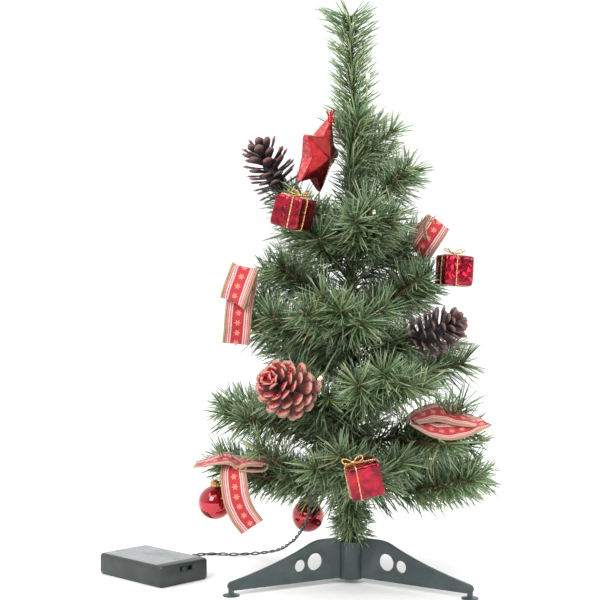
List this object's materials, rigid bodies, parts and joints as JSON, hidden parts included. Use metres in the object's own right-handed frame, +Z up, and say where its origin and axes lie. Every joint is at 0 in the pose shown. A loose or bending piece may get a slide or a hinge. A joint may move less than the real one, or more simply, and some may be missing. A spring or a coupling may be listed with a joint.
{
  "type": "artificial tabletop tree",
  "caption": "Small artificial needle tree on a three-legged plastic stand, with hinged wire branches, hung decorations, a light string and a battery case with a lift-off cover and a slide switch.",
  "frame": {"origin": "centre of the flat underside of the hub, on the trunk axis; the feet stand 3.4 mm lower", "axes": "+Z up along the trunk, -Y is the front, with gift_front and cone_front, and the battery case lies towards -X"},
  "size_m": [0.3181, 0.2317, 0.4676],
  "materials": {
    "stand_plastic": "dark green-grey moulded plastic",
    "trunk_wrap": "steel tube wrapped in dark green plastic tape",
    "needles": "cut plastic film needles in mixed greens",
    "gift_foil": "crinkled red metallised film over foam",
    "cone_scales": "natural open cone scales with pale lips and red glitter",
    "gold": "thin gold-coloured metal",
    "bauble_red": "glossy red metallised plastic",
    "star_foil": "glossy red metallised plastic with a matt pink sheen",
    "ribbon_cloth": "wired cloth ribbon, red centre, pale stripes, olive edges",
    "green_wire": "thin dark green insulated wire",
    "grommet_rubber": "moulded soft grommet",
    "cell_jacket": "printed film jacket over a steel can, no marks",
    "nickel_steel": "nickel-plated spring steel",
    "board_green": "laminate board with a steel switch body",
    "case_plastic": "dark green-grey moulded plastic, satin"
  },
  "bodies": {
    "stand": {"hub": "stand_plastic", "leg_left": "stand_plastic", "leg_right": "stand_plastic", "leg_rear": "stand_plastic", "trunk_pole": "trunk_wrap", "leader": "needles", "light_string": "green_wire", "lead_cord": "green_wire", "battery_case": "case_plastic", "lead_grommet": "grommet_rubber", "cell_1": "cell_jacket", "cell_2": "cell_jacket", "cell_3": "cell_jacket", "flat_contacts": "nickel_steel", "spring_contacts": "nickel_steel", "switch_board": "board_green"},
    "cover": {"battery_cover": "case_plastic", "cover_screw_1": "nickel_steel", "cover_screw_2": "nickel_steel"},
    "switch": {"switch_knob": "case_plastic"},
    "branch_01_limb": {"branch_01": "needles"},
    "branch_02_limb": {"branch_02": "needles"},
    "branch_03_limb": {"branch_03": "needles", "ribbon_left_low": "ribbon_cloth"},
    "branch_04_limb": {"branch_04": "needles"},
    "branch_05_limb": {"branch_05": "needles", "gift_front": "gift_foil"},
    "branch_06_limb": {"branch_06": "needles"},
    "branch_07_limb": {"branch_07": "needles", "ribbon_right_low": "ribbon_cloth"},
    "branch_08_limb": {"branch_08": "needles"},
    "branch_09_limb": {"branch_09": "needles", "cone_front": "cone_scales"},
    "branch_10_limb": {"branch_10": "needles"},
    "branch_11_limb": {"branch_11": "needles"},
    "branch_12_limb": {"branch_12": "needles"},
    "branch_13_limb": {"branch_13": "needles", "cone_right": "cone_scales"},
    "branch_14_limb": {"branch_14": "needles", "ribbon_left_high": "ribbon_cloth"},
    "branch_15_limb": {"branch_15": "needles"},
    "branch_16_limb": {"branch_16": "needles"},
    "branch_17_limb": {"branch_17": "needles", "gift_right": "gift_foil"},
    "branch_18_limb": {"branch_18": "needles"},
    "branch_19_limb": {"branch_19": "needles", "ribbon_right_high": "ribbon_cloth"},
    "branch_20_limb": {"branch_20": "needles", "gift_left": "gift_foil"},
    "branch_21_limb": {"branch_21": "needles"},
    "branch_22_limb": {"branch_22": "needles"},
    "branch_23_limb": {"branch_23": "needles", "cone_left": "cone_scales"},
    "branch_24_limb": {"branch_24": "needles"},
    "branch_25_limb": {"branch_25": "needles"},
    "bauble_left_hung": {"bauble_left": "bauble_red", "bauble_left_cap": "gold"},
    "bauble_rear_hung": {"bauble_rear": "bauble_red", "bauble_rear_cap": "gold"},
    "star_hung": {"star": "star_foil"}
  },
  "joints": [
    {"name": "battery_cover_lift", "type": "slide", "parent": "stand", "child": "cover", "axis": [0, 0, 1], "range_m": [0, 0.03]},
    {"name": "battery_switch_slide", "type": "slide", "parent": "stand", "child": "switch", "axis": [0.6909, 0.723, 0], "range_m": [0, 0.006]},
    {"name": "bauble_left_swing", "type": "hinge", "parent": "branch_03_limb", "child": "bauble_left_hung", "pos_m": [-0.10877, -0.0099, 0.08374], "axis": [-0.0906, 0.9959, 0], "range_deg": [-35, 35]},
    {"name": "bauble_rear_swing", "type": "hinge", "parent": "branch_01_limb", "child": "bauble_rear_hung", "pos_m": [-0.0344, 0.04403, 0.06358], "axis": [0.788, 0.6157, 0], "range_deg": [-35, 35]},
    {"name": "branch_01_fold", "type": "hinge", "parent": "stand", "child": "branch_01_limb", "pos_m": [-0.00339, 0.00433, 0.0636], "axis": [0.788, 0.6157, 0], "range_deg": [-8, 36]},
    {"name": "branch_02_fold", "type": "hinge", "parent": "stand", "child": "branch_02_limb", "pos_m": [0.00546, -0.00067, 0.067], "axis": [-0.1219, -0.9925, 0], "range_deg": [-8, 36]},
    {"name": "branch_03_fold", "type": "hinge", "parent": "stand", "child": "branch_03_limb", "pos_m": [-0.00548, -0.0005, 0.074], "axis": [-0.0906, 0.9959, 0], "range_deg": [-8, 36]},
    {"name": "branch_04_fold", "type": "hinge", "parent": "stand", "child": "branch_04_limb", "pos_m": [0.00339, 0.00433, 0.079], "axis": [0.788, -0.6157, 0], "range_deg": [-8, 36]},
    {"name": "branch_05_fold", "type": "hinge", "parent": "stand", "child": "branch_05_limb", "pos_m": [0.00025, -0.00549, 0.085], "axis": [-0.999, -0.0454, 0], "range_deg": [-8, 36]},
    {"name": "branch_06_fold", "type": "hinge", "parent": "stand", "child": "branch_06_limb", "pos_m": [-0.00076, 0.00545, 0.095], "axis": [0.9903, 0.1392, 0], "range_deg": [-8, 36]},
    {"name": "branch_07_fold", "type": "hinge", "parent": "stand", "child": "branch_07_limb", "pos_m": [0.0051, -0.00206, 0.108], "axis": [-0.3746, -0.9272, 0], "range_deg": [-8, 22]},
    {"name": "branch_08_fold", "type": "hinge", "parent": "stand", "child": "branch_08_limb", "pos_m": [-0.00534, 0.00133, 0.118], "axis": [0.2419, 0.9703, 0], "range_deg": [-8, 36]},
    {"name": "branch_09_fold", "type": "hinge", "parent": "stand", "child": "branch_09_limb", "pos_m": [-0.00305, -0.00458, 0.123], "axis": [-0.832, 0.5548, 0], "range_deg": [-8, 28]},
    {"name": "branch_10_fold", "type": "hinge", "parent": "stand", "child": "branch_10_limb", "pos_m": [0.00215, -0.00506, 0.137], "axis": [-0.9205, -0.3907, 0], "range_deg": [-8, 36]},
    {"name": "branch_11_fold", "type": "hinge", "parent": "stand", "child": "branch_11_limb", "pos_m": [0.00502, 0.00224, 0.15], "axis": [0.4067, -0.9135, 0], "range_deg": [-8, 36]},
    {"name": "branch_12_fold", "type": "hinge", "parent": "stand", "child": "branch_12_limb", "pos_m": [-0.00258, 0.00486, 0.156], "axis": [0.8829, 0.4695, 0], "range_deg": [-8, 36]},
    {"name": "branch_13_fold", "type": "hinge", "parent": "stand", "child": "branch_13_limb", "pos_m": [0.00479, -0.00271, 0.168], "axis": [-0.4924, -0.8704, 0], "range_deg": [-8, 28]},
    {"name": "branch_14_fold", "type": "hinge", "parent": "stand", "child": "branch_14_limb", "pos_m": [-0.00549, 0.00038, 0.179], "axis": [0.0698, 0.9976, 0], "range_deg": [-8, 24]},
    {"name": "branch_15_fold", "type": "hinge", "parent": "stand", "child": "branch_15_limb", "pos_m": [-0.00076, -0.00545, 0.185], "axis": [-0.9903, 0.1392, 0], "range_deg": [-8, 36]},
    {"name": "branch_16_fold", "type": "hinge", "parent": "stand", "child": "branch_16_limb", "pos_m": [0.00224, 0.00502, 0.197], "axis": [0.9135, -0.4067, 0], "range_deg": [-8, 36]},
    {"name": "branch_17_fold", "type": "hinge", "parent": "stand", "child": "branch_17_limb", "pos_m": [0.0055, 0, 0.211], "axis": [0, -1, 0], "range_deg": [-8, 10]},
    {"name": "branch_18_fold", "type": "hinge", "parent": "stand", "child": "branch_18_limb", "pos_m": [-0.00476, 0.00275, 0.216], "axis": [0.5, 0.866, 0], "range_deg": [-8, 30]},
    {"name": "branch_19_fold", "type": "hinge", "parent": "stand", "child": "branch_19_limb", "pos_m": [0.00486, 0.00258, 0.239], "axis": [0.4695, -0.8829, 0], "range_deg": [-8, 34]},
    {"name": "branch_20_fold", "type": "hinge", "parent": "stand", "child": "branch_20_limb", "pos_m": [-0.00382, -0.00396, 0.245], "axis": [-0.7193, 0.6947, 0], "range_deg": [-8, 9]},
    {"name": "branch_21_fold", "type": "hinge", "parent": "stand", "child": "branch_21_limb", "pos_m": [0.00152, -0.00529, 0.253], "axis": [-0.9613, -0.2756, 0], "range_deg": [-8, 26]},
    {"name": "branch_22_fold", "type": "hinge", "parent": "stand", "child": "branch_22_limb", "pos_m": [-0.00057, 0.00547, 0.26], "axis": [0.9945, 0.1045, 0], "range_deg": [-8, 26]},
    {"name": "branch_23_fold", "type": "hinge", "parent": "stand", "child": "branch_23_limb", "pos_m": [-0.00544, -0.00083, 0.269], "axis": [-0.1513, 0.9885, 0], "range_deg": [-8, 6]},
    {"name": "branch_24_fold", "type": "hinge", "parent": "stand", "child": "branch_24_limb", "pos_m": [0.0051, -0.00206, 0.296], "axis": [-0.3746, -0.9272, 0], "range_deg": [-8, 18]},
    {"name": "branch_25_fold", "type": "hinge", "parent": "stand", "child": "branch_25_limb", "pos_m": [0.00258, 0.00486, 0.308], "axis": [0.8829, -0.4695, 0], "range_deg": [-8, 16]},
    {"name": "star_swing", "type": "hinge", "parent": "stand", "child": "star_hung", "pos_m": [-0.0172, -0.024, 0.369], "axis": [-0.454, -0.891, 0], "range_deg": [-10, 13]}
  ]
}
